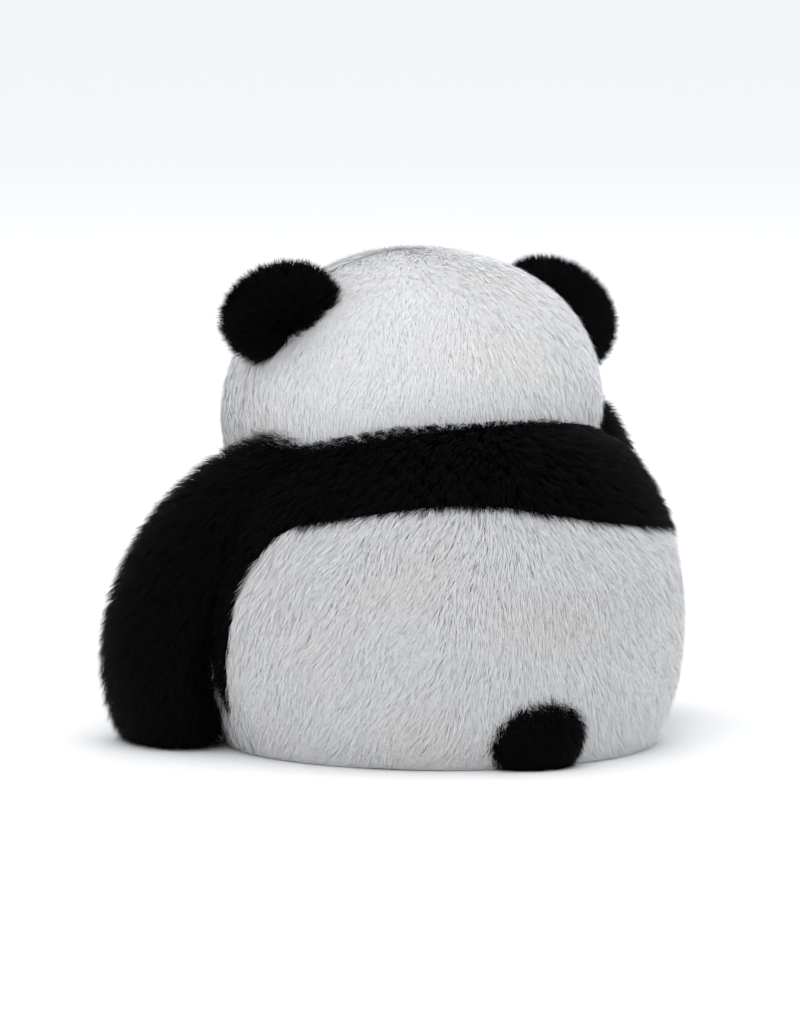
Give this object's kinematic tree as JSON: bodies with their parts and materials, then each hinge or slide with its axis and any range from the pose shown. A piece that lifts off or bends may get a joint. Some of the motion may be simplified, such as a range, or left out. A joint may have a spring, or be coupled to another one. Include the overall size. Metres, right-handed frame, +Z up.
{
  "type": "plush panda",
  "caption": "Seated soft toy panda in long white and black faux fur, stuffed, with sewn-on ears, arms, legs and tail that bend at their seams.",
  "frame": {"origin": "on the floor under the middle of the torso, at the centre of the flat base panel", "axes": "+Z up, the face looks along -Y, the toy's left side is +X"},
  "size_m": [0.4, 0.3705, 0.3244],
  "materials": {
    "white_fur": "matte",
    "black_fur": "matte",
    "filling": "matte",
    "black_plastic": "gloss",
    "washer_plastic": "matte",
    "thread": "satin",
    "short_pile": "matte",
    "pouch_cloth": "matte",
    "pellets": "satin"
  },
  "bodies": {
    "torso": {"shoulder_yoke": "black_fur", "back_panel": "white_fur", "belly_panel": "white_fur", "base_panel": "white_fur", "torso_filling": "filling", "pellet_pouch": "pouch_cloth", "pellets": "pellets"},
    "head": {"head_back_panel": "white_fur", "face_panel": "white_fur", "head_filling": "filling", "muzzle_panel": "white_fur", "muzzle_filling": "filling", "nose": "black_plastic", "nose_washer": "washer_plastic", "mouth_stitching": "thread", "eye_patch_left": "black_fur", "eye_patch_right": "black_fur", "eye_left": "black_plastic", "eye_right": "black_plastic", "eye_washer_left": "washer_plastic", "eye_washer_right": "washer_plastic"},
    "tail": {"tail_skin": "black_fur", "tail_filling": "filling"},
    "ear_left": {"ear_back_panel_left": "black_fur", "ear_front_panel_left": "black_fur", "ear_filling_left": "filling"},
    "arm_left": {"arm_skin_left": "black_fur", "arm_filling_left": "filling"},
    "leg_left": {"leg_skin_left": "black_fur", "leg_filling_left": "filling", "sole_pad_left": "short_pile"},
    "ear_right": {"ear_back_panel_right": "black_fur", "ear_front_panel_right": "black_fur", "ear_filling_right": "filling"},
    "arm_right": {"arm_skin_right": "black_fur", "arm_filling_right": "filling"},
    "leg_right": {"leg_skin_right": "black_fur", "leg_filling_right": "filling", "sole_pad_right": "short_pile"}
  },
  "joints": [
    {"name": "head_turn", "type": "hinge", "parent": "torso", "child": "head", "pos_m": [0, -0.045, 0.222], "axis": [0, -0.3714, 0.9285], "range_deg": [-20, 20], "stiffness_Nm_per_rad": 0.6},
    {"name": "tail_lift", "type": "hinge", "parent": "torso", "child": "tail", "pos_m": [0, 0.134, 0.038], "axis": [1, 0, 0], "range_deg": [0, 20], "stiffness_Nm_per_rad": 0.03},
    {"name": "ear_bend_left", "type": "hinge", "parent": "head", "child": "ear_left", "pos_m": [0.09963, -0.02327, 0.28475], "axis": [-0.5329, 0, 0.8462], "range_deg": [-15, 15], "stiffness_Nm_per_rad": 0.15},
    {"name": "arm_swing_left", "type": "hinge", "parent": "torso", "child": "arm_left", "pos_m": [0.15, -0.02, 0.148], "axis": [-1, 0, 0], "range_deg": [0, 60], "stiffness_Nm_per_rad": 0.05},
    {"name": "leg_lift_left", "type": "hinge", "parent": "torso", "child": "leg_left", "pos_m": [0.076, -0.134, 0.074], "axis": [-1, 0, 0], "range_deg": [0, 40], "stiffness_Nm_per_rad": 0.05},
    {"name": "ear_bend_right", "type": "hinge", "parent": "head", "child": "ear_right", "pos_m": [-0.09963, -0.02327, 0.28475], "axis": [0.5329, 0, 0.8462], "range_deg": [-15, 15], "stiffness_Nm_per_rad": 0.15},
    {"name": "arm_swing_right", "type": "hinge", "parent": "torso", "child": "arm_right", "pos_m": [-0.15, -0.02, 0.148], "axis": [-1, 0, 0], "range_deg": [0, 60], "stiffness_Nm_per_rad": 0.05},
    {"name": "leg_lift_right", "type": "hinge", "parent": "torso", "child": "leg_right", "pos_m": [-0.076, -0.134, 0.074], "axis": [-1, 0, 0], "range_deg": [0, 40], "stiffness_Nm_per_rad": 0.05}
  ]
}
